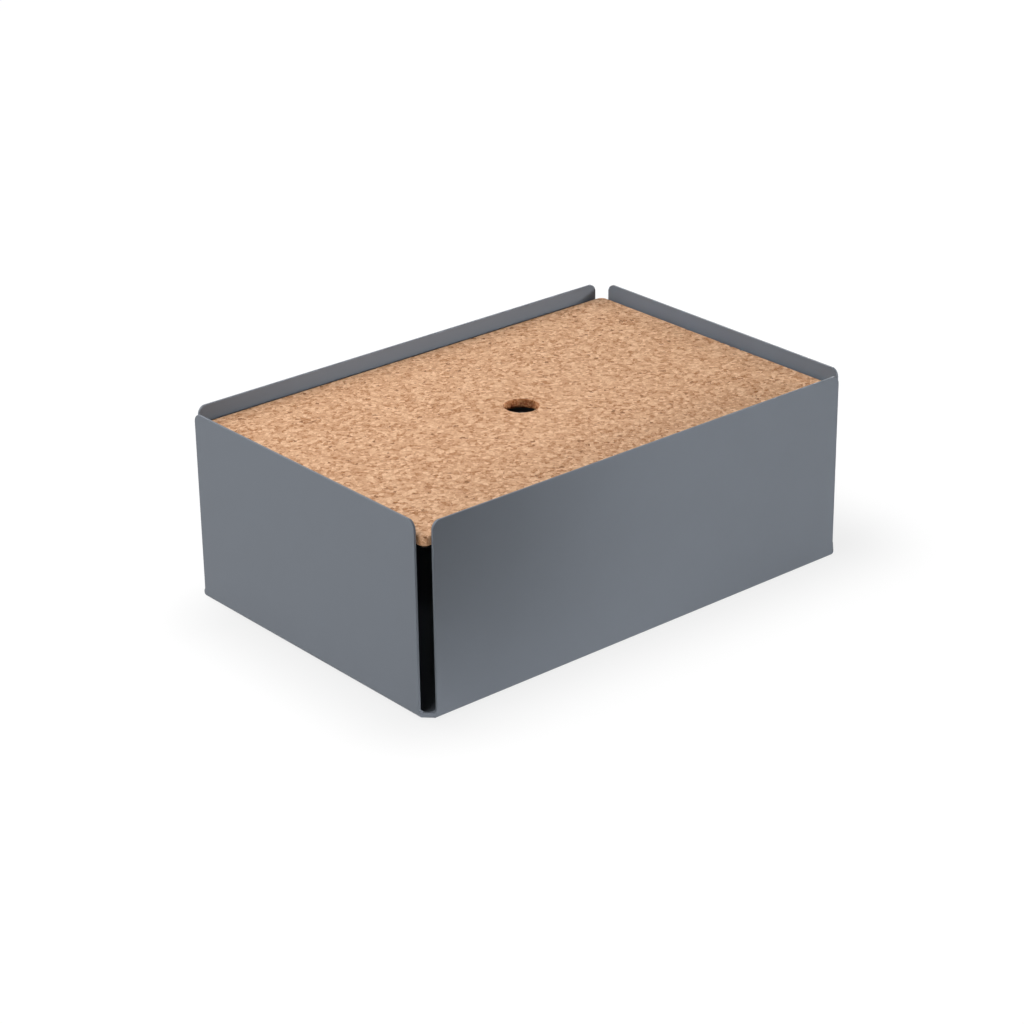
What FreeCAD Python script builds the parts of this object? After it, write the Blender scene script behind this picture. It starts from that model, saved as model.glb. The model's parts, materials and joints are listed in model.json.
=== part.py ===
import FreeCAD, Part
import math
import os

import Sketcher

# Cable management box: one folded steel sheet with four open upright corners, and a cork lid that
# lies loose on brackets a little below the rims. The origin is on the floor under the middle of the
# box, +X runs along the long walls, +Y points to the back wall and +Z is up. Sizes are in millimetres.

SIZES = {
    # Folded body
    "box_length": 360,
    "box_width": 240,
    "body_height": 131.5,
    "sheet_thickness": 1.5,
    "bend_radius": 2,
    "slit_reach": 8,
    "slit_foot": 4.5,
    "wall_corner_radius": 6,
    "rim_softening": 0.35,
    # Lid
    "lid_clearance": 2.25,
    "lid_recess": 10.5,
    "cork_thickness": 6,
    "cork_corner_radius": 4.5,
    "cork_edge_rounding": 0.5,
    "cable_hole_diameter": 23,
    "board_thickness": 3,
    "board_inset": 3,
    "board_corner_radius": 4,
    # Brackets that carry the lid
    "bracket_width": 30,
    "bracket_ledge": 16,
    "bracket_leg": 15,
    "bracket_thickness": 1.5,
    "bracket_bend_radius": 1.5,
    "bracket_corner_radius": 4,
    "bracket_offset": 88,
    "weld_mark_diameter": 5,
    "weld_mark_depth": 0.3,
    "weld_mark_spacing": 16,
    "weld_mark_drop": 9,
    # Feet
    "foot_diameter": 12,
    "foot_height": 1,
    "foot_edge_rounding": 0.4,
    "foot_inset": 24,
}

# Formulas of the sheet's cells that more than one sub-part uses
LENGTH = "Sizes.box_length"
WIDTH = "Sizes.box_width"
SHEET = "Sizes.sheet_thickness"
OUTER_BEND = "(Sizes.bend_radius + Sizes.sheet_thickness)"
FACET = "(Sizes.slit_reach - 2 / 3 * Sizes.sheet_thickness)"
SLIT_FLAT = f"({FACET} / 2 + Sizes.sheet_thickness)"
LID_LENGTH = "(Sizes.box_length - 2 * Sizes.sheet_thickness - 2 * Sizes.lid_clearance)"
LID_WIDTH = "(Sizes.box_width - 2 * Sizes.sheet_thickness - 2 * Sizes.lid_clearance)"
CORK_UNDERSIDE = "(Sizes.foot_height + Sizes.body_height - Sizes.lid_recess - Sizes.cork_thickness)"
BOARD_UNDERSIDE = f"({CORK_UNDERSIDE} - Sizes.board_thickness)"

doc = FreeCAD.newDocument("cable_management_box")
sheet = doc.addObject("Spreadsheet::Sheet", "Sizes")
for row, (size_name, size_value) in enumerate(SIZES.items(), start=1):
    sheet.set(f"A{row}", size_name)
    sheet.set(f"B{row}", str(size_value))
    sheet.setAlias(f"B{row}", size_name)
doc.recompute()


def number(formula):
    """Value of a formula of the sheet's cells, in millimetres."""
    return float(sheet.evalExpression(formula))


def new_body(name):
    body = doc.addObject("PartDesign::Body", name)
    body.Label = name
    return body


def new_sketch(body, name, plane):
    """Sketch on one of the body's own origin planes: XY_Plane, XZ_Plane or YZ_Plane."""
    sketch = body.newObject("Sketcher::SketchObject", name)
    support = [item for item in body.Origin.OriginFeatures if item.Role == plane][0]
    sketch.AttachmentSupport = [(support, "")]
    sketch.MapMode = "FlatFace"
    return sketch


def hold_point(sketch, geometry, position, across, up):
    """Keep a sketch point at the formulas' distances from the sketch's origin."""
    for kind, formula in (("DistanceX", across), ("DistanceY", up)):
        if number(formula) == 0:
            axis = -2 if kind == "DistanceX" else -1
            sketch.addConstraint(Sketcher.Constraint("PointOnObject", geometry, position, axis))
            continue
        constraint = Sketcher.Constraint(kind, -1, 1, geometry, position, number(formula))
        index = sketch.addConstraint(constraint)
        sketch.setExpression(f"Constraints[{index}]", formula)


def add_outline(sketch, corners):
    """Closed outline through corners given as (across, up, radius) formulas; no radius is a sharp corner."""
    points = [FreeCAD.Vector(number(across), number(up), 0) for across, up, radius in corners]
    radii = [number(radius) if radius else 0 for across, up, radius in corners]
    count = len(corners)
    trims = []
    for i in range(count):
        before = (points[i - 1] - points[i]).normalize()
        after = (points[(i + 1) % count] - points[i]).normalize()
        trim = radii[i] / math.tan(before.getAngle(after) / 2)
        trims.append((points[i] + before * trim, points[i] + after * trim, before, after))
    lines = []
    for i in range(count):
        segment = Part.LineSegment(trims[i][1], trims[(i + 1) % count][0])
        lines.append(sketch.addGeometry(segment, False))
    for i, (across, up, radius) in enumerate(corners):
        line_in, line_out = lines[i - 1], lines[i]
        if not radius:
            sketch.addConstraint(Sketcher.Constraint("Coincident", line_in, 2, line_out, 1))
            hold_point(sketch, line_out, 1, across, up)
            continue
        start, end, before, after = trims[i]
        bisector = (before + after).normalize()
        centre = points[i] + bisector * (radii[i] / math.sin(before.getAngle(after) / 2))
        middle = centre - bisector * radii[i]
        arc = sketch.addGeometry(Part.Arc(start, middle, end), False)
        leftward = before.cross(after).z > 0
        arc_in, arc_out = (2, 1) if leftward else (1, 2)
        sketch.addConstraint(Sketcher.Constraint("Tangent", line_in, 2, arc, arc_in))
        sketch.addConstraint(Sketcher.Constraint("Tangent", line_out, 1, arc, arc_out))
        size = sketch.addConstraint(Sketcher.Constraint("Radius", arc, radii[i]))
        sketch.setExpression(f"Constraints[{size}]", radius)
        corner = sketch.addGeometry(Part.Point(points[i]), True)
        sketch.addConstraint(Sketcher.Constraint("PointOnObject", corner, 1, line_in))
        sketch.addConstraint(Sketcher.Constraint("PointOnObject", corner, 1, line_out))
        hold_point(sketch, corner, 1, across, up)


def add_rectangle(sketch, length, width, radius=None):
    """Rectangle centred on the sketch's origin, with rounded corners if a radius is given."""
    add_outline(sketch, [
        (f"-{length} / 2", f"-{width} / 2", radius),
        (f"{length} / 2", f"-{width} / 2", radius),
        (f"{length} / 2", f"{width} / 2", radius),
        (f"-{length} / 2", f"{width} / 2", radius),
    ])


def add_circle(sketch, diameter, across, up):
    circle = Part.Circle(FreeCAD.Vector(number(across), number(up), 0), FreeCAD.Vector(0, 0, 1),
                         number(diameter) / 2)
    index = sketch.addGeometry(circle, False)
    size = sketch.addConstraint(Sketcher.Constraint("Diameter", index, number(diameter)))
    sketch.setExpression(f"Constraints[{size}]", diameter)
    hold_point(sketch, index, 3, across, up)


def pad(body, name, sketch, length, both_ways=False):
    feature = body.newObject("PartDesign::Pad", name)
    feature.Profile = sketch
    feature.setExpression("Length", length)
    if both_ways:
        feature.Midplane = True
    doc.recompute()
    return feature


def cut(body, name, sketch, depth=None, reverse=False):
    """Pocket to a depth, or right through the body both ways; it has to take something away."""
    volume_before = body.Shape.Volume
    feature = body.newObject("PartDesign::Pocket", name)
    feature.Profile = sketch
    if depth is None:
        feature.Type = "ThroughAll"
        feature.Midplane = True
    else:
        feature.setExpression("Length", depth)
        feature.Reversed = reverse
    doc.recompute()
    if not body.Shape.Volume < volume_before:
        raise RuntimeError(f"{name} cuts nothing from {body.Label}")
    return feature


def fillet(body, name, radius, wanted):
    """Round every edge of the body's tip that wanted(edge) picks."""
    tip = body.Tip
    picked = [f"Edge{i}" for i, edge in enumerate(tip.Shape.Edges, start=1) if wanted(edge)]
    feature = body.newObject("PartDesign::Fillet", name)
    feature.Base = (tip, picked)
    feature.setExpression("Radius", radius)
    doc.recompute()
    return feature


def place(body, x="0", y="0", z="0", turn=0):
    """Put a finished sub-part in the box, turned about its own upright axis."""
    body.Placement.Rotation = FreeCAD.Rotation(FreeCAD.Vector(0, 0, 1), turn)
    for axis, formula in (("x", x), ("y", y), ("z", z)):
        body.setExpression(f"Placement.Base.{axis}", formula)


def near(value, wanted):
    return abs(value - wanted) < 1e-6


def add_facetted_rectangle(sketch, inset):
    """The box's outline from above, set in by a formula, with its corners cut off by short facets."""
    full_x = f"({LENGTH} / 2 - {inset})"
    full_y = f"({WIDTH} / 2 - {inset})"
    start = f"({FACET} + (sqrt(2) - 1) * {inset})"
    facet_x = f"({LENGTH} / 2 - {start})"
    facet_y = f"({WIDTH} / 2 - {start})"
    add_outline(sketch, [
        (facet_x, f"-{full_y}", None),
        (full_x, f"-{facet_y}", None),
        (full_x, facet_y, None),
        (facet_x, full_y, None),
        (f"-{facet_x}", full_y, None),
        (f"-{full_x}", facet_y, None),
        (f"-{full_x}", f"-{facet_y}", None),
        (f"-{facet_x}", f"-{full_y}", None),
    ])


def cut_slits(body, name, plane, span, run):
    """Open both ends of the two walls that face along the plane's normal, rounded at foot and rim."""
    beyond = f"({span} / 2 + {SHEET})"
    wall_end = f"({span} / 2 - Sizes.slit_reach)"
    past_corner = f"({wall_end} - 1.2 * Sizes.wall_corner_radius)"
    above = f"(Sizes.body_height + {SHEET})"
    corner_top = "(Sizes.body_height + Sizes.rim_softening / 3)"
    for side in ("", "-"):
        ends = new_sketch(body, f"{name}_slits_{'minus' if side else 'plus'}", plane)
        for end in ("", "-"):
            add_outline(ends, [
                (f"{end}{beyond}", "Sizes.slit_foot", None),
                (f"{end}{beyond}", above, None),
                (f"{end}{past_corner}", above, None),
                (f"{end}{past_corner}", corner_top, None),
                (f"{end}{wall_end}", corner_top, "Sizes.wall_corner_radius"),
                (f"{end}{wall_end}", "Sizes.slit_foot", f"(Sizes.slit_reach - {SLIT_FLAT})"),
            ])
        ends.setExpression("AttachmentOffset.Base.z", f"{side}({run} / 2 - {SLIT_FLAT})")
        cut(body, f"{name}_slits_cut_{'minus' if side else 'plus'}", ends,
            depth=f"{SLIT_FLAT} + {SHEET}", reverse=not side)


def make_folded_body():
    """One pressed sheet: a dished base, and four walls that stand apart at the open upright corners."""
    body = new_body("folded_body")
    outside = new_sketch(body, "outside", "XY_Plane")
    add_facetted_rectangle(outside, "0")
    pad(body, "outside_block", outside, "Sizes.body_height")

    def edges_at(formula):
        height = number(formula)
        return lambda edge: all(near(vertex.Z, height) for vertex in edge.Vertexes)

    fillet(body, "outer_bends", OUTER_BEND, edges_at("0"))
    inside = new_sketch(body, "inside", "XY_Plane")
    add_facetted_rectangle(inside, SHEET)
    inside.setExpression("AttachmentOffset.Base.z", SHEET)
    cut(body, "hollow", inside, depth="Sizes.body_height", reverse=True)
    fillet(body, "inner_bends", "Sizes.bend_radius", edges_at(SHEET))
    fillet(body, "softened_rims", "Sizes.rim_softening", edges_at("Sizes.body_height"))
    cut_slits(body, "long_wall", "XZ_Plane", LENGTH, WIDTH)
    cut_slits(body, "short_wall", "YZ_Plane", WIDTH, LENGTH)
    place(body, z="Sizes.foot_height")
    return body


def make_slab(name, length, width, thickness, corner_radius):
    """Flat rounded panel with the cable hole through its middle."""
    body = new_body(name)
    outline = new_sketch(body, f"{name}_outline", "XY_Plane")
    add_rectangle(outline, length, width, corner_radius)
    pad(body, f"{name}_slab", outline, thickness)
    hole = new_sketch(body, f"{name}_hole", "XY_Plane")
    add_circle(hole, "Sizes.cable_hole_diameter", "0", "0")
    cut(body, f"{name}_cable_hole", hole)
    return body


def make_cork_panel():
    body = make_slab("cork_panel", LID_LENGTH, LID_WIDTH, "Sizes.cork_thickness", "Sizes.cork_corner_radius")
    top = number("Sizes.cork_thickness")
    fillet(body, "worn_upper_edges", "Sizes.cork_edge_rounding",
           lambda edge: all(near(vertex.Z, top) for vertex in edge.Vertexes))
    place(body, z=CORK_UNDERSIDE)
    return body


def make_backing_board():
    body = make_slab("lid_backing_board", f"({LID_LENGTH} - 2 * Sizes.board_inset)",
                     f"({LID_WIDTH} - 2 * Sizes.board_inset)", "Sizes.board_thickness",
                     "Sizes.board_corner_radius")
    place(body, z=BOARD_UNDERSIDE)
    return body


def make_bracket(name, x, y, turn):
    """Steel angle with its leg welded to a wall. Unturned, the wall is behind it at -Y."""
    body = new_body(name)
    section = new_sketch(body, f"{name}_section", "YZ_Plane")
    thickness = "Sizes.bracket_thickness"
    add_outline(section, [
        ("0", "0", f"(Sizes.bracket_bend_radius + {thickness})"),
        ("0", "-Sizes.bracket_leg", None),
        (thickness, "-Sizes.bracket_leg", None),
        (thickness, f"-{thickness}", "Sizes.bracket_bend_radius"),
        ("Sizes.bracket_ledge", f"-{thickness}", None),
        ("Sizes.bracket_ledge", "0", None),
    ])
    pad(body, f"{name}_angle", section, "Sizes.bracket_width", both_ways=True)
    ledge = number("Sizes.bracket_ledge")
    leg = number("Sizes.bracket_leg")
    across_thickness = number(thickness)

    def free_corner(edge):
        at_tip = all(near(vertex.Y, ledge) or near(vertex.Z, -leg) for vertex in edge.Vertexes)
        return at_tip and near(edge.Length, across_thickness)

    fillet(body, f"{name}_corners", "Sizes.bracket_corner_radius", free_corner)
    marks = new_sketch(body, f"{name}_weld_marks", "XZ_Plane")
    for side_x in ("", "-"):
        add_circle(marks, "Sizes.weld_mark_diameter", f"{side_x}Sizes.weld_mark_spacing / 2",
                   "-Sizes.weld_mark_drop")
    marks.setExpression("AttachmentOffset.Base.z", f"-{thickness}")
    cut(body, f"{name}_welds", marks, depth="Sizes.weld_mark_depth", reverse=True)
    place(body, x, y, BOARD_UNDERSIDE, turn)
    return body


def make_foot(name, x, y):
    """Thin rubber disc with a rounded lower edge."""
    body = new_body(name)
    outline = new_sketch(body, f"{name}_outline", "XY_Plane")
    add_circle(outline, "Sizes.foot_diameter", "0", "0")
    pad(body, f"{name}_disc", outline, "Sizes.foot_height")
    fillet(body, f"{name}_edge", "Sizes.foot_edge_rounding",
           lambda edge: all(near(vertex.Z, 0) for vertex in edge.Vertexes))
    place(body, x, y)
    return body


wall_x = f"({LENGTH} / 2 - {SHEET})"
wall_y = f"({WIDTH} / 2 - {SHEET})"
foot_x = f"({LENGTH} / 2 - Sizes.foot_inset)"
foot_y = f"({WIDTH} / 2 - Sizes.foot_inset)"

parts = [
    make_folded_body(),
    make_cork_panel(),
    make_backing_board(),
    make_bracket("lid_bracket_front_left", "-Sizes.bracket_offset", f"-{wall_y}", 0),
    make_bracket("lid_bracket_front_right", "Sizes.bracket_offset", f"-{wall_y}", 0),
    make_bracket("lid_bracket_back_left", "-Sizes.bracket_offset", wall_y, 180),
    make_bracket("lid_bracket_back_right", "Sizes.bracket_offset", wall_y, 180),
    make_bracket("lid_bracket_left", f"-{wall_x}", "0", -90),
    make_bracket("lid_bracket_right", wall_x, "0", 90),
    make_foot("foot_front_left", f"-{foot_x}", f"-{foot_y}"),
    make_foot("foot_front_right", foot_x, f"-{foot_y}"),
    make_foot("foot_back_left", f"-{foot_x}", foot_y),
    make_foot("foot_back_right", foot_x, foot_y),
]
doc.recompute()

for item in doc.Objects:
    if "Invalid" in item.State or "Error" in item.State:
        raise RuntimeError(f"{item.Name} did not recompute: {item.State}")
for part in parts:
    if part.Shape.isNull() or not part.Shape.isValid():
        raise RuntimeError(f"{part.Label} has no valid shape")

os.makedirs("parts", exist_ok=True)
for part in parts:
    part.Shape.exportStep(f"parts/{part.Label}.step")
    print(f"{part.Label}: {part.Shape.Volume / 1000:.2f} cm3")
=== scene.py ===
import json
import math

import bpy
from mathutils import Matrix, Vector
from mathutils.geometry import delaunay_2d_cdt


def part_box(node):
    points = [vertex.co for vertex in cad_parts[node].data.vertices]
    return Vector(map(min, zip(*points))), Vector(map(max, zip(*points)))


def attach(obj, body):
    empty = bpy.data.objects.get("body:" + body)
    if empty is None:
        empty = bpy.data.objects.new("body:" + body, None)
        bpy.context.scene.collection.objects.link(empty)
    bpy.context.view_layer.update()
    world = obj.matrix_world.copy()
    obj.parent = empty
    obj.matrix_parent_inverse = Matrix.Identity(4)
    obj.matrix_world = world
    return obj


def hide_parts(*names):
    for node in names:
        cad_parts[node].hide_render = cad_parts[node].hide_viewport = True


# Looks of the cable management box: powder-coated sheet steel with four open upright corners, and a
# loose lid of granulated cork on a black board. Lengths are in metres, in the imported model's frame.

MM = 0.001

# Camera that gives the photograph's view
CAMERA_PLACE = Vector((-1.1206, -1.3120, 0.8324))
CAMERA_DIRECTION = Vector((0.58813, 0.69430, -0.41479))
CAMERA_ROLL = math.radians(-0.743)
CAMERA_LENS = 100.566
CAMERA_SENSOR = 36.0
CAMERA_REACH = 50

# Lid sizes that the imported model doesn't state
CORK_CORNER_RADIUS = 4.5 * MM
CORK_EDGE_ROUNDING = 0.5 * MM

# Mesh of the cork slab, where the margin is a share of one mesh step
CORK_MESH_STEP = 1.15 * MM
CORK_EDGE_ROWS = 4
CORK_EDGE_MARGIN = 0.6
ROUNDING_MIDDLE = 0.3
FEWEST_CORNER_STEPS = 4
OUTSIDE_HOLE = 0.999
WELD_DISTANCE = 1e-7

# Cork pattern, shared by the relief of the mesh and the colours of its material
GRANULE_SIZE = 2.5 * MM
CRUMB_SIZE = 1.05 * MM
GRANULE_WARP = 0.7 * MM
WOBBLES_PER_GRANULE = 0.8
SPECKS_PER_CRUMB = 2.5

# Relief of the cork: a few torn-out granules and crumbs, and the sanding of the rest
PORE_DEPTH = 0.4 * MM
SANDING_DEPTH = 0.02 * MM
TORN_KINDS = (0.955, 0.975)
TORN_RIM = 0.25
TORN_CRUMBS = (0.06, 0.03)
TORN_CRUMB_RIM = 0.2
TORN_CRUMB_SHARE = 0.5
UNDERSIDE_MARGIN = 0.01 * MM

# Cork colours, from dark to pale granules, and how much of their brightness is kept
CORK_TONES = [
    (0.06, (0.301, 0.126, 0.045)),
    (0.22, (0.429, 0.216, 0.103)),
    (0.38, (0.521, 0.290, 0.160)),
    (0.54, (0.591, 0.342, 0.194)),
    (0.72, (0.658, 0.397, 0.238)),
    (0.90, (0.753, 0.483, 0.303)),
]
CORK_BRIGHTNESS = 0.965
GRANULE_SHARE = 0.66
CRUMB_SHARE = 0.34
SPECK_SHADES = (0.92, 1.06)
BARK_COLOUR = (0.220, 0.098, 0.042, 1)
BARK_KINDS = (0.965, 0.980)
BARK_CRUMBS = (0.35, 0.45)
SEAM_COLOUR = (0.200, 0.090, 0.040, 1)
SEAM_WIDTH = 0.07
SEAM_PATCHES = (0.42, 0.6)
SEAM_SHADE = 0.5
# Painted shade on the hole's wall, varied crumb by crumb, fading out on the top just beyond the hole
HOLE_SHADE_CRUMB_DARK = (0.52, 0.30, 0.18, 1)
HOLE_SHADE_CRUMB_PALE = (1.00, 0.80, 0.62, 1)
HOLE_SHADE_FADE_START = 0.2 * MM
HOLE_SHADE_FADE_END = 0.7 * MM

# Shine and fine grain of the cork
CORK_ROUGHNESS = 0.82
CORK_GLOSS = 0.3
GRAIN_STRENGTH = 0.25
GRAIN_DEPTH = 0.14 * MM
GRAIN_SEAM_WIDTH = 0.12
GRAIN_CRUMB_SEAM_WIDTH = 0.15
GRAIN_CRUMB_SHARE = 0.4
GRAIN_SPECK_SHARE = 0.5

# Coated and moulded surfaces
CLOUDS_PER_PEBBLE = 0.03
MIDDLE_NOISE = (0.3, 0.7)
ROUGHNESS_SWING = 0.03

# White floor and the painted soft shadow round the foot of the box
FLOOR_HALF_WIDTH = 6.0
FLOOR_PAPER = (0.86, 0.86, 0.86, 1)
FLOOR_WHITE = 1.03
FLOOR_LIFT = 0.95
PAINTED_SHADOW_DEPTH = 0.16
PAINTED_SHADOW_REACH = 95 * MM
PAINTED_SHADOW_MIDDLE = (9 * MM, -14 * MM, 0)
PAINTED_SHADOW_HALF_SIZE = (172 * MM, 80 * MM, 0)

# Studio room
WHITE = (1, 1, 1, 1)
ROOM_LIGHT = 0.05
BACKDROP_WHITE = 1.0
OPEN_SPREAD = 180
PLAIN_WHITE = (1, 1, 1)
COOL_WHITE = (0.5, 0.8, 1.0)

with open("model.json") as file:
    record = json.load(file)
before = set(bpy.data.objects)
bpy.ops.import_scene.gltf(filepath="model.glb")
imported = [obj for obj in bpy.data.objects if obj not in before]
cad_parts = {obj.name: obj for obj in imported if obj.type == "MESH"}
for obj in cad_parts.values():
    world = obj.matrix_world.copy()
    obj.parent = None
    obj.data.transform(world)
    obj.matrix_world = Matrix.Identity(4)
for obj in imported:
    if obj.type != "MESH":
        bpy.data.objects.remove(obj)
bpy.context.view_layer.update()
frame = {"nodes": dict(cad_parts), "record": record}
nodes = frame["nodes"]


class NodeTree:
    """Short way to fill a shader or geometry tree: add a node, set its inputs, link sockets."""

    def __init__(self, tree):
        self.tree = tree

    def add(self, kind, inputs=None, **settings):
        node = self.tree.nodes.new(kind)
        for name, value in settings.items():
            setattr(node, name, value)
        for name, value in (inputs or {}).items():
            self.feed(node.inputs[name], value)
        return node

    def feed(self, socket, value):
        if isinstance(value, bpy.types.NodeSocket):
            self.tree.links.new(value, socket)
        else:
            socket.default_value = value

    def math(self, operation, first, second):
        return self.add("ShaderNodeMath", {0: first, 1: second}, operation=operation).outputs[0]

    def vector_math(self, operation, first, second):
        node = self.add("ShaderNodeVectorMath", {0: first}, operation=operation)
        self.feed(node.inputs["Scale" if operation == "SCALE" else 1], second)
        return node.outputs["Vector"]

    def length(self, vector):
        node = self.add("ShaderNodeVectorMath", {0: vector}, operation="LENGTH")
        return node.outputs["Value"]

    def remap(self, value, low, high, to_low=0.0, to_high=1.0, curve="LINEAR"):
        node = self.add("ShaderNodeMapRange", interpolation_type=curve)
        ends = {"From Min": low, "From Max": high, "To Min": to_low, "To Max": to_high}
        for name, end in {"Value": value, **ends}.items():
            self.feed(node.inputs[name], end)
        return node.outputs["Result"]

    def grey(self, value):
        inputs = {"Red": value, "Green": value, "Blue": value}
        return self.add("ShaderNodeCombineColor", inputs).outputs["Color"]

    def mix_colour(self, share, first, second, blend="MIX"):
        node = self.add("ShaderNodeMix", data_type="RGBA", blend_type=blend)
        for index, value in ((0, share), (6, first), (7, second)):
            self.feed(node.inputs[index], value)
        return node.outputs[2]

    def ramp(self, value, stops):
        node = self.add("ShaderNodeValToRGB", {"Fac": value})
        elements = node.color_ramp.elements
        while len(elements) < len(stops):
            elements.new(0.5)
        for element, (place, colour) in zip(elements, stops):
            element.position = place
            element.color = (*colour, 1)
        return node.outputs["Color"]

    def seen_by_camera(self):
        """1 for rays from the camera, also after a mirror or through glass, and 0 for the rest."""
        path = self.add("ShaderNodeLightPath").outputs
        mirrored = self.math("MAXIMUM", path["Is Glossy Ray"], path["Is Transmission Ray"])
        return self.math("MAXIMUM", path["Is Camera Ray"], mirrored)


def new_group(name, kind, inputs, outputs):
    """Node group: inputs are (name, socket type, default), outputs are (name, socket type)."""
    tree = bpy.data.node_groups.new(name, kind)
    for title, socket_type, default in inputs:
        socket = tree.interface.new_socket(title, in_out="INPUT", socket_type=socket_type)
        if default is not None:
            socket.default_value = default
    for title, socket_type in outputs:
        tree.interface.new_socket(title, in_out="OUTPUT", socket_type=socket_type)
    return tree, NodeTree(tree)


def new_material(name):
    """Material with a plain Principled shader: returns the material, its tree and the shader."""
    material = bpy.data.materials.new(name)
    material.use_nodes = True
    material.node_tree.nodes.clear()
    tree = NodeTree(material.node_tree)
    output = tree.add("ShaderNodeOutputMaterial")
    shader = tree.add("ShaderNodeBsdfPrincipled")
    tree.feed(output.inputs["Surface"], shader.outputs["BSDF"])
    return material, tree, shader


def granule_pattern(name, kind):
    """Solid pattern of pressed cork granules: the same nodes serve the relief and the colours."""
    tree, net = new_group(name, kind, [
        ("Place", "NodeSocketVector", None),
        ("Granule Size", "NodeSocketFloat", GRANULE_SIZE),
        ("Crumb Size", "NodeSocketFloat", CRUMB_SIZE),
        ("Warp", "NodeSocketFloat", GRANULE_WARP),
    ], [
        ("Granule", "NodeSocketFloat"),
        ("Crumb", "NodeSocketFloat"),
        ("Kind", "NodeSocketFloat"),
        ("Seam", "NodeSocketFloat"),
        ("Crumb Seam", "NodeSocketFloat"),
        ("Fine", "NodeSocketFloat"),
    ])
    source = net.add("NodeGroupInput")
    result = net.add("NodeGroupOutput")
    place = source.outputs["Place"]
    granule_scale = net.math("DIVIDE", 1.0, source.outputs["Granule Size"])
    crumb_scale = net.math("DIVIDE", 1.0, source.outputs["Crumb Size"])
    wobble = net.add("ShaderNodeTexNoise", {
        "Vector": place,
        "Scale": net.math("MULTIPLY", granule_scale, WOBBLES_PER_GRANULE),
        "Detail": 3.0,
        "Roughness": 0.6,
    })
    centred = net.vector_math("SUBTRACT", wobble.outputs["Color"], (0.5, 0.5, 0.5))
    both_ways = net.math("MULTIPLY", source.outputs["Warp"], 2.0)
    warped = net.vector_math("ADD", place, net.vector_math("SCALE", centred, both_ways))
    for_colours = kind == "ShaderNodeTree"
    separate = "ShaderNodeSeparateColor" if for_colours else "FunctionNodeSeparateColor"
    outputs = {}
    sizes = (("Granule", "Seam", granule_scale), ("Crumb", "Crumb Seam", crumb_scale))
    for title, seam_title, scale in sizes:
        where = {"Vector": warped, "Scale": scale}
        cells = net.add("ShaderNodeTexVoronoi", where, feature="F1")
        parts = net.add(separate, {"Color": cells.outputs["Color"]})
        outputs[title] = parts.outputs["Red"]
        if title == "Granule":
            outputs["Kind"] = parts.outputs["Green"]
        seams = net.add("ShaderNodeTexVoronoi", where, feature="DISTANCE_TO_EDGE")
        outputs[seam_title] = seams.outputs["Distance"]
    fine = net.add("ShaderNodeTexNoise", {
        "Vector": place,
        "Scale": net.math("MULTIPLY", crumb_scale, SPECKS_PER_CRUMB),
        "Detail": 2.0,
        "Roughness": 0.7,
    })
    outputs["Fine"] = fine.outputs["Fac"]
    for title, value in outputs.items():
        net.feed(result.inputs[title], value)
    return tree


def add_pattern(net, tree, place):
    """Places the cork pattern's group in a material or a geometry tree: returns its outputs."""
    kind = "ShaderNodeGroup" if net.tree.type == "SHADER" else "GeometryNodeGroup"
    node = net.add(kind, node_tree=tree)
    net.feed(node.inputs["Place"], place)
    return node.outputs


def make_fine_texture():
    """Group: shallow pebbling, as on powder coat, fibreboard and rubber."""
    tree, net = new_group("fine_texture", "ShaderNodeTree", [
        ("Pebble Size", "NodeSocketFloat", 1.0 * MM),
        ("Relief", "NodeSocketFloat", 0.1),
        ("Relief Depth", "NodeSocketFloat", 0.02 * MM),
    ], [
        ("Normal", "NodeSocketVector"),
        ("Mottle", "NodeSocketFloat"),
    ])
    source = net.add("NodeGroupInput")
    result = net.add("NodeGroupOutput")
    place = net.add("ShaderNodeTexCoord").outputs["Object"]
    scale = net.math("DIVIDE", 1.0, source.outputs["Pebble Size"])
    pebbles = net.add("ShaderNodeTexNoise", {"Vector": place, "Scale": scale, "Detail": 2.0})
    bump = net.add("ShaderNodeBump", {
        "Strength": source.outputs["Relief"],
        "Distance": source.outputs["Relief Depth"],
        "Height": pebbles.outputs["Fac"],
    })
    cloud_scale = net.math("MULTIPLY", scale, CLOUDS_PER_PEBBLE)
    clouds = net.add("ShaderNodeTexNoise", {"Vector": place, "Scale": cloud_scale, "Detail": 4.0})
    net.feed(result.inputs["Normal"], bump.outputs["Normal"])
    net.feed(result.inputs["Mottle"], clouds.outputs["Fac"])
    return tree


def make_surface(name, texture, colour, roughness, gloss, pebble_size, relief, relief_depth,
                 mottle):
    """Coated or moulded surface: an even colour with faint clouds and shallow pebbling."""
    material, net, shader = new_material(name)
    fine = net.add("ShaderNodeGroup", node_tree=texture)
    net.feed(fine.inputs["Pebble Size"], pebble_size)
    net.feed(fine.inputs["Relief"], relief)
    net.feed(fine.inputs["Relief Depth"], relief_depth)
    clouds = fine.outputs["Mottle"]
    shade = net.remap(clouds, *MIDDLE_NOISE, 1.0 - mottle, 1.0 + mottle)
    polish = net.remap(clouds, *MIDDLE_NOISE, roughness - ROUGHNESS_SWING,
                       roughness + ROUGHNESS_SWING)
    clouded = net.mix_colour(1.0, (*colour, 1), net.grey(shade), "MULTIPLY")
    net.feed(shader.inputs["Base Color"], clouded)
    net.feed(shader.inputs["Roughness"], polish)
    net.feed(shader.inputs["Normal"], fine.outputs["Normal"])
    shader.inputs["Specular IOR Level"].default_value = gloss
    return material


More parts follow.
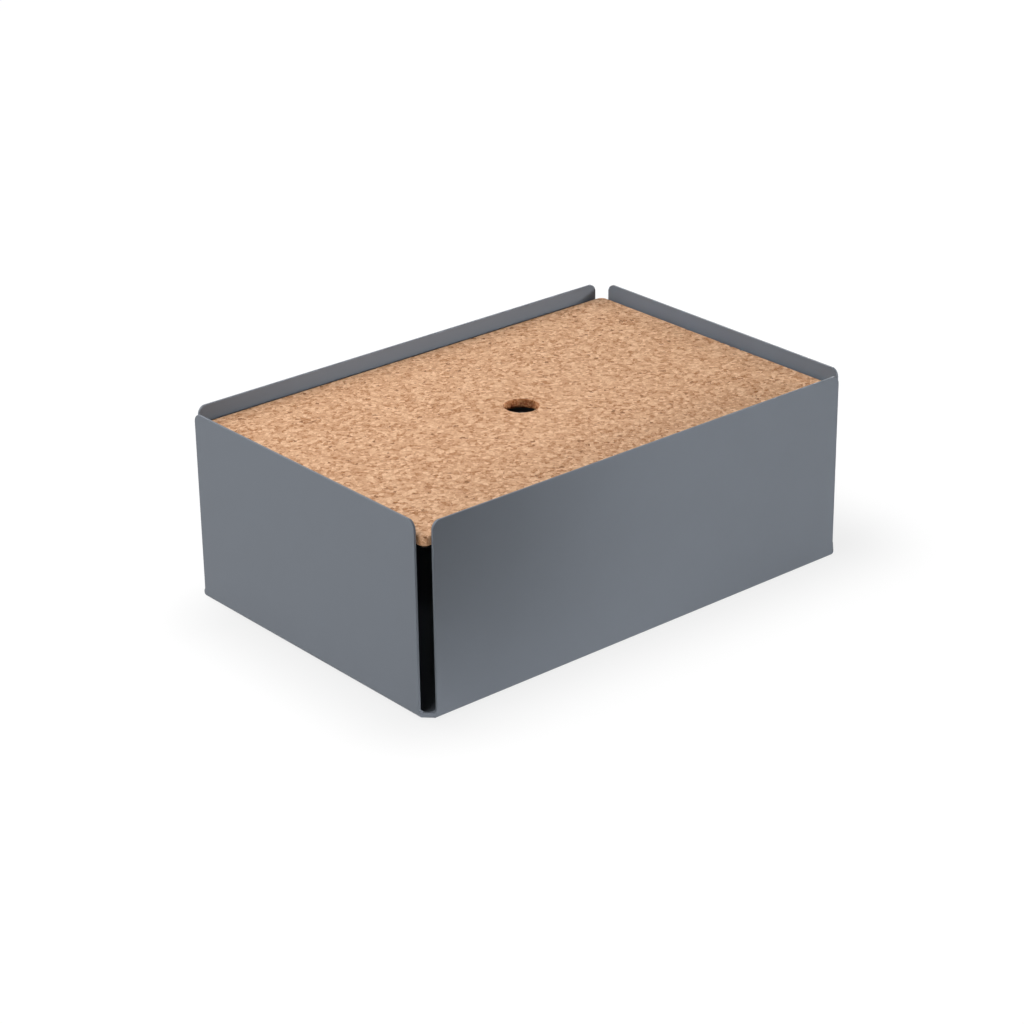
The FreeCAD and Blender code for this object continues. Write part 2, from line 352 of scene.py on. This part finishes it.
def make_cork_material(pattern, hole_radius):
    """Granulated cork: tan granules and crumbs of many tones, darker bark bits, open seams, and
    painted shade on the hole's wall.
    """
    material, net, shader = new_material("granulated_cork")
    place = net.add("ShaderNodeTexCoord").outputs["Object"]
    cork = add_pattern(net, pattern, place)

    tone = net.math("ADD", net.math("MULTIPLY", cork["Granule"], GRANULE_SHARE),
                    net.math("MULTIPLY", cork["Crumb"], CRUMB_SHARE))
    specks = net.remap(cork["Fine"], *MIDDLE_NOISE, *SPECK_SHADES)
    tones = [(stop, [CORK_BRIGHTNESS * part for part in colour]) for stop, colour in CORK_TONES]
    body = net.mix_colour(1.0, net.ramp(tone, tones), net.grey(specks), "MULTIPLY")

    bark = net.math("MULTIPLY", net.remap(cork["Kind"], *BARK_KINDS),
                    net.remap(cork["Crumb"], *BARK_CRUMBS))
    body = net.mix_colour(bark, body, BARK_COLOUR)

    seam = net.math("MULTIPLY", net.remap(cork["Seam"], 0.0, SEAM_WIDTH, 1.0, 0.0),
                    net.remap(cork["Fine"], *SEAM_PATCHES))
    body = net.mix_colour(net.math("MULTIPLY", seam, SEAM_SHADE), body, SEAM_COLOUR)

    # Painted shade: the hole's wall and its rounded rim are darkened crumb by crumb, fading out on
    # the top
    from_hole = net.length(net.vector_math("MULTIPLY", place, (1, 1, 0)))
    hole_wall_shade = net.remap(from_hole, hole_radius + HOLE_SHADE_FADE_START, hole_radius + HOLE_SHADE_FADE_END,
                         1.0, 0.0)
    hole_shade_grain = net.mix_colour(cork["Crumb"], HOLE_SHADE_CRUMB_DARK, HOLE_SHADE_CRUMB_PALE)
    body = net.mix_colour(hole_wall_shade, body, hole_shade_grain, "MULTIPLY")

    granules = net.remap(cork["Seam"], 0.0, GRAIN_SEAM_WIDTH)
    crumbs = net.remap(cork["Crumb Seam"], 0.0, GRAIN_CRUMB_SEAM_WIDTH, 0.0, GRAIN_CRUMB_SHARE)
    height = net.math("ADD", granules, net.math("MULTIPLY", cork["Fine"], GRAIN_SPECK_SHARE))
    bump = net.add("ShaderNodeBump", {
        "Strength": GRAIN_STRENGTH,
        "Distance": GRAIN_DEPTH,
        "Height": net.math("ADD", height, crumbs),
    })
    net.feed(shader.inputs["Base Color"], body)
    net.feed(shader.inputs["Normal"], bump.outputs["Normal"])
    shader.inputs["Roughness"].default_value = CORK_ROUGHNESS
    shader.inputs["Specular IOR Level"].default_value = CORK_GLOSS
    return material


def rounded_rectangle(low, high, radius, step):
    """Points of a rounded rectangle's outline, anticlockwise, about a step apart."""
    points = []
    corners = [(high.x, low.y, -90), (high.x, high.y, 0), (low.x, high.y, 90), (low.x, low.y, 180)]
    arc_count = max(FEWEST_CORNER_STEPS, math.ceil(radius * math.pi / 2 / step))
    for x, y, start in corners:
        centre = Vector((x - math.copysign(radius, x), y - math.copysign(radius, y)))
        for i in range(arc_count + 1):
            angle = math.radians(start + 90 * i / arc_count)
            points.append(centre + radius * Vector((math.cos(angle), math.sin(angle))))
    spaced = []
    for here, there in zip(points, points[1:] + points[:1]):
        cuts = max(1, round((there - here).length / step))
        spaced.extend(here.lerp(there, i / cuts) for i in range(cuts))
    return spaced


def moved_inwards(outline, distance):
    """The same outline with every point moved towards the inside."""
    ring = []
    for i, point in enumerate(outline):
        along = outline[(i + 1) % len(outline)] - outline[i - 1]
        inward = Vector((-along.y, along.x)).normalized()
        ring.append(point + inward * distance)
    return ring


def circle(radius, step):
    """Points of a circle, anticlockwise, at most a step apart."""
    count = math.ceil(2 * math.pi * radius / step)
    angles = [2 * math.pi * i / count for i in range(count)]
    return [radius * Vector((math.cos(angle), math.sin(angle))) for angle in angles]


def grid_inside(low, high, hole_radius):
    """Staggered grid of points on the cork's top, clear of its edge and its hole."""
    step = CORK_MESH_STEP
    clear = CORK_EDGE_ROUNDING + CORK_EDGE_MARGIN * step
    columns = math.floor((high.x - low.x) / step)
    rows = math.floor((high.y - low.y) / step)
    points = []
    for j in range(rows + 1):
        shift = 0.5 if j % 2 else 0.0
        for i in range(columns + 1):
            point = Vector((low.x + (i + shift) * step, low.y + j * step))
            corner = Vector((max(abs(point.x) - high.x + CORK_CORNER_RADIUS, 0),
                             max(abs(point.y) - high.y + CORK_CORNER_RADIUS, 0)))
            if corner.length < CORK_CORNER_RADIUS - clear and point.length > hole_radius + clear:
                points.append(point)
    return points


def fill_flat(outline, hole, hole_radius, inner_points=()):
    """Triangles between an outline and a round hole in its middle: returns points and faces."""
    flat = outline + hole
    edges = []
    for start, loop in ((0, outline), (len(outline), hole)):
        edges += [(start + i, start + (i + 1) % len(loop)) for i in range(len(loop))]
    flat += inner_points
    points, _, triangles, _, _, _ = delaunay_2d_cdt(flat, edges, [], 1, WELD_DISTANCE)
    faces = []
    for triangle in triangles:
        middle = sum((points[i] for i in triangle), Vector((0, 0))) / len(triangle)
        if middle.length > hole_radius * OUTSIDE_HOLE:
            faces.append(tuple(triangle))
    return points, faces


def make_cork_mesh(low, high, hole_radius):
    """Slab with rounded corners, a hole and slightly rounded upper edges, evenly meshed on top."""
    rounding = CORK_EDGE_ROUNDING
    straight = high.z - low.z - rounding
    # Profile of the edge from the top down, as (distance from the side face, depth below the top)
    middle = rounding * ROUNDING_MIDDLE
    profile = [(rounding, 0.0), (middle, middle), (0.0, rounding)]
    for row in range(1, CORK_EDGE_ROWS + 1):
        profile.append((0.0, rounding + straight * row / CORK_EDGE_ROWS))

    outline = rounded_rectangle(low, high, CORK_CORNER_RADIUS, CORK_MESH_STEP)
    hole = circle(hole_radius, CORK_MESH_STEP)
    outer_loops = [moved_inwards(outline, inset) for inset, _ in profile]
    hole_loops = [[point * (1 + inset / hole_radius) for point in hole] for inset, _ in profile]

    top_points, faces = fill_flat(outer_loops[0], hole_loops[0], hole_radius + rounding,
                                  grid_inside(low, high, hole_radius))
    vertices = [(point.x, point.y, high.z) for point in top_points]
    outer_count = len(outline)
    rings = [list(range(outer_count)), list(range(outer_count, outer_count + len(hole)))]
    for side, loops in enumerate((outer_loops, hole_loops)):
        for loop, (_, drop) in zip(loops[1:], profile[1:]):
            above = rings[side]
            below = list(range(len(vertices), len(vertices) + len(loop)))
            vertices.extend((point.x, point.y, high.z - drop) for point in loop)
            for i in range(len(loop)):
                k = (i + 1) % len(loop)
                quad = (above[i], below[i], below[k], above[k])
                faces.append(quad if side == 0 else quad[::-1])
            rings[side] = below
    lowest = rings[0] + rings[1]
    _, bottom_faces = fill_flat(outer_loops[-1], hole_loops[-1], hole_radius)
    faces += [tuple(lowest[i] for i in reversed(face)) for face in bottom_faces]

    mesh = bpy.data.meshes.new("cork_slab")
    mesh.from_pydata(vertices, [], faces)
    mesh.validate()
    return mesh


def make_relief_tree(pattern, material):
    """Geometry nodes: sinks torn-out granules and sanded seams below the cork's faces."""
    tree, net = new_group("cork_relief", "GeometryNodeTree", [
        ("Geometry", "NodeSocketGeometry", None),
        ("Pore Depth", "NodeSocketFloat", PORE_DEPTH),
        ("Sanding Depth", "NodeSocketFloat", SANDING_DEPTH),
        ("Underside", "NodeSocketFloat", 0.0),
    ], [("Geometry", "NodeSocketGeometry")])
    source = net.add("NodeGroupInput")
    result = net.add("NodeGroupOutput")
    place = net.add("GeometryNodeInputPosition").outputs["Position"]
    cork = add_pattern(net, pattern, place)

    torn = net.math("MULTIPLY", net.remap(cork["Kind"], *TORN_KINDS),
                    net.remap(cork["Seam"], 0.0, TORN_RIM))
    torn_crumb = net.math("MULTIPLY", net.remap(cork["Crumb"], *TORN_CRUMBS),
                          net.remap(cork["Crumb Seam"], 0.0, TORN_CRUMB_RIM))
    pit = net.math("MAXIMUM", torn, net.math("MULTIPLY", torn_crumb, TORN_CRUMB_SHARE))
    pores = net.math("MULTIPLY", pit, source.outputs["Pore Depth"])
    worn = net.remap(cork["Fine"], *MIDDLE_NOISE)
    sanding = net.math("MULTIPLY", worn, source.outputs["Sanding Depth"])
    sink = net.math("MULTIPLY", net.math("ADD", pores, sanding), -1.0)

    # The underside stays flat, because the board is glued to it
    height = net.add("ShaderNodeSeparateXYZ", {"Vector": place}).outputs["Z"]
    above = net.add("FunctionNodeCompare", data_type="FLOAT", operation="GREATER_THAN")
    net.feed(above.inputs[0], height)
    net.feed(above.inputs[1], net.math("ADD", source.outputs["Underside"], UNDERSIDE_MARGIN))
    normal = net.add("GeometryNodeInputNormal").outputs["Normal"]
    moved = net.add("GeometryNodeSetPosition", {
        "Geometry": source.outputs["Geometry"],
        "Selection": above.outputs["Result"],
        "Offset": net.vector_math("SCALE", normal, sink),
    })
    smooth = net.add("GeometryNodeSetShadeSmooth", {"Geometry": moved.outputs["Geometry"]})
    real = net.add("GeometryNodeRealizeInstances", {"Geometry": smooth.outputs[0]})
    finished = net.add("GeometryNodeSetMaterial", {
        "Geometry": real.outputs["Geometry"],
        "Material": material,
    })
    net.feed(result.inputs["Geometry"], finished.outputs["Geometry"])
    return tree


def set_modifier_input(modifier, title, value):
    """Sets a geometry tree's input on its modifier, by the socket's identifier."""
    for item in modifier.node_group.interface.items_tree:
        if item.item_type == "SOCKET" and item.in_out == "INPUT" and item.name == title:
            modifier[item.identifier] = value


def add_cork_panel(pattern, material, hole_radius):
    """The lid's cork slab with its torn and sanded surface, in place of the plain solid."""
    low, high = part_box("cork_panel")
    blank = bpy.data.objects.new("cork_blank", make_cork_mesh(low, high, hole_radius))
    bpy.context.scene.collection.objects.link(blank)
    modifier = blank.modifiers.new("relief", "NODES")
    modifier.node_group = make_relief_tree(pattern, material)
    set_modifier_input(modifier, "Underside", low.z)
    graph = bpy.context.evaluated_depsgraph_get()
    mesh = bpy.data.meshes.new_from_object(blank.evaluated_get(graph))
    bpy.data.objects.remove(blank)
    panel = bpy.data.objects.new("cork_top", mesh)
    bpy.context.scene.collection.objects.link(panel)
    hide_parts("cork_panel")
    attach(panel, "lid")


def dress(names, material):
    """Gives CAD nodes their finish."""
    for name in names:
        slots = nodes[name].data.materials
        slots.clear()
        slots.append(material)


def make_floor_material():
    """White floor with a painted soft shadow round the box's foot, lifted towards white where the
    camera sees it.
    """
    material = bpy.data.materials.new("white_floor")
    material.use_nodes = True
    material.node_tree.nodes.clear()
    net = NodeTree(material.node_tree)
    output = net.add("ShaderNodeOutputMaterial")
    paper = net.add("ShaderNodeBsdfDiffuse", {"Color": FLOOR_PAPER})

    # Painted shadow: the floor's glow is darker near a flat box on the floor and fades with the
    # distance from it
    nothing = (0, 0, 0)
    place = net.add("ShaderNodeTexCoord").outputs["Object"]
    across = net.vector_math("ABSOLUTE", net.vector_math("SUBTRACT", place, PAINTED_SHADOW_MIDDLE), nothing)
    outside = net.vector_math("SUBTRACT", across, PAINTED_SHADOW_HALF_SIZE)
    beyond = net.vector_math("MAXIMUM", outside, nothing)
    painted_shadow_darkest = FLOOR_WHITE * (1.0 - PAINTED_SHADOW_DEPTH)
    white = net.remap(net.length(beyond), 0.0, PAINTED_SHADOW_REACH, painted_shadow_darkest, FLOOR_WHITE, "SMOOTHSTEP")
    glow = net.add("ShaderNodeEmission", {"Color": WHITE, "Strength": white})

    lift = net.math("MULTIPLY", net.seen_by_camera(), FLOOR_LIFT)
    blended = net.add("ShaderNodeMixShader", {"Fac": lift})
    net.feed(blended.inputs[1], paper.outputs["BSDF"])
    net.feed(blended.inputs[2], glow.outputs["Emission"])
    net.feed(output.inputs["Surface"], blended.outputs["Shader"])
    return material


def add_floor():
    """Floor of the studio, with its surface at the height of the feet's undersides."""
    size = FLOOR_HALF_WIDTH
    mesh = bpy.data.meshes.new("floor")
    corners = [(-size, -size, 0), (size, -size, 0), (size, size, 0), (-size, size, 0)]
    mesh.from_pydata(corners, [], [(0, 1, 2, 3)])
    mesh.materials.append(make_floor_material())
    floor = bpy.data.objects.new("floor", mesh)
    bpy.context.scene.collection.objects.link(floor)


def add_world():
    """Room that lights the box faintly from all round and looks white from the camera."""
    world = bpy.data.worlds.new("studio")
    bpy.context.scene.world = world
    world.use_nodes = True
    world.node_tree.nodes.clear()
    net = NodeTree(world.node_tree)
    output = net.add("ShaderNodeOutputWorld")
    room = net.add("ShaderNodeBackground", {"Color": WHITE, "Strength": ROOM_LIGHT})
    backdrop = net.add("ShaderNodeBackground", {"Color": WHITE, "Strength": BACKDROP_WHITE})
    blended = net.add("ShaderNodeMixShader", {"Fac": net.seen_by_camera()})
    net.feed(blended.inputs[1], room.outputs["Background"])
    net.feed(blended.inputs[2], backdrop.outputs["Background"])
    net.feed(output.inputs["Surface"], blended.outputs["Shader"])


def add_softbox(name, place, aim, width, depth, power, spread=OPEN_SPREAD, colour=PLAIN_WHITE):
    """Soft lamp aimed at a point: a spread below 180 degrees is a grid that narrows its beam."""
    lamp = bpy.data.lights.new(name, "AREA")
    lamp.shape = "RECTANGLE"
    lamp.size = width
    lamp.size_y = depth
    lamp.energy = power
    lamp.color = colour
    lamp.spread = math.radians(spread)
    box = bpy.data.objects.new(name, lamp)
    box.location = place
    box.rotation_mode = "QUATERNION"
    box.rotation_quaternion = (Vector(aim) - Vector(place)).to_track_quat("-Z", "Y")
    box.visible_camera = False
    bpy.context.scene.collection.objects.link(box)


def add_camera():
    """Camera at the photograph's viewing angle."""
    camera = bpy.data.cameras.new("camera")
    camera.lens = CAMERA_LENS
    camera.sensor_width = CAMERA_SENSOR
    camera.clip_end = CAMERA_REACH
    seat = bpy.data.objects.new("camera", camera)
    seat.rotation_mode = "QUATERNION"
    aim = CAMERA_DIRECTION.to_track_quat("-Z", "Y")
    seat.rotation_quaternion = aim @ Matrix.Rotation(CAMERA_ROLL, 3, "Z").to_quaternion()
    seat.location = CAMERA_PLACE
    bpy.context.scene.collection.objects.link(seat)
    bpy.context.scene.camera = seat


add_camera()
add_world()
add_floor()

# Large softboxes light the box from above and from both ends
add_softbox("left_high_softbox", place=(-0.7, -0.12, 1.0), aim=(0, 0, 0.12),
            width=0.5, depth=0.5, power=6.7)
add_softbox("back_left_softbox", place=(-0.8, 1.8, 1.2), aim=(0, 0, 0.1),
            width=1.2, depth=1.0, power=25.7)
add_softbox("overhead_softbox", place=(-0.2, 0.8, 1.5), aim=(0, 0, 0.1),
            width=1.4, depth=0.8, power=12.1)
add_softbox("right_softbox", place=(1.5, 0.7, 0.22), aim=(0.18, 0, 0.07),
            width=1.0, depth=0.2, power=14)

# Gridded lamps lift the front wall at its right end, its foot and its near corner
add_softbox("front_right_gridded", place=(0.738, -1.229, 0.34), aim=(0.288, -0.12, 0.106),
            width=0.697, depth=0.376, power=0.568, spread=12)
add_softbox("front_low_gridded", place=(-0.157, -1.273, 0.078), aim=(-0.257, -0.12, -0.299),
            width=0.243, depth=0.132, power=1.42, spread=37)
add_softbox("front_left_gridded", place=(-0.9, -1.0, 0.12), aim=(-0.18, -0.12, 0.07),
            width=0.5, depth=0.2, power=0.078, spread=40)

# Narrow lamps lift the inner faces above the lid, and are cool because the cork's own glow is warm
add_softbox("back_rim_gridded", place=(0.0, -1.15, 0.45), aim=(0, 0.12, 0.124),
            width=0.34, depth=0.05, power=0.0046, spread=5, colour=COOL_WHITE)
add_softbox("side_rim_gridded", place=(-1.15, 0.0, 0.46), aim=(0.18, 0, 0.124),
            width=0.23, depth=0.05, power=0.0096, spread=5, colour=COOL_WHITE)

texture = make_fine_texture()
powder_coat = make_surface("powder_coat", texture, colour=(0.145, 0.162, 0.187),
                           roughness=0.45, gloss=0.18, pebble_size=0.9 * MM,
                           relief=0.10, relief_depth=0.02 * MM, mottle=0.015)
black_board = make_surface("black_fibreboard", texture, colour=(0.007, 0.007, 0.007),
                           roughness=0.85, gloss=0.10, pebble_size=0.6 * MM,
                           relief=0.4, relief_depth=0.05 * MM, mottle=0.10)
foot_rubber = make_surface("foot_rubber", texture, colour=(0.020, 0.020, 0.020),
                           roughness=0.7, gloss=0.35, pebble_size=0.4 * MM,
                           relief=0.3, relief_depth=0.03 * MM, mottle=0.05)
dress(["folded_body"] + [name for name in nodes if name.startswith("lid_bracket")], powder_coat)
dress(["lid_backing_board"], black_board)
dress([name for name in nodes if name.startswith("foot_")], foot_rubber)

hole_mount = next(mount for mount in frame["record"]["mounts"] if mount["name"] == "cable_hole")
hole_radius = hole_mount["dims"]["r_mm"] * MM
cork = make_cork_material(granule_pattern("cork_pattern", "ShaderNodeTree"), hole_radius)
add_cork_panel(granule_pattern("cork_pattern_of_mesh", "GeometryNodeTree"), cork, hole_radius)

bpy.context.scene.view_settings.view_transform = "Standard"
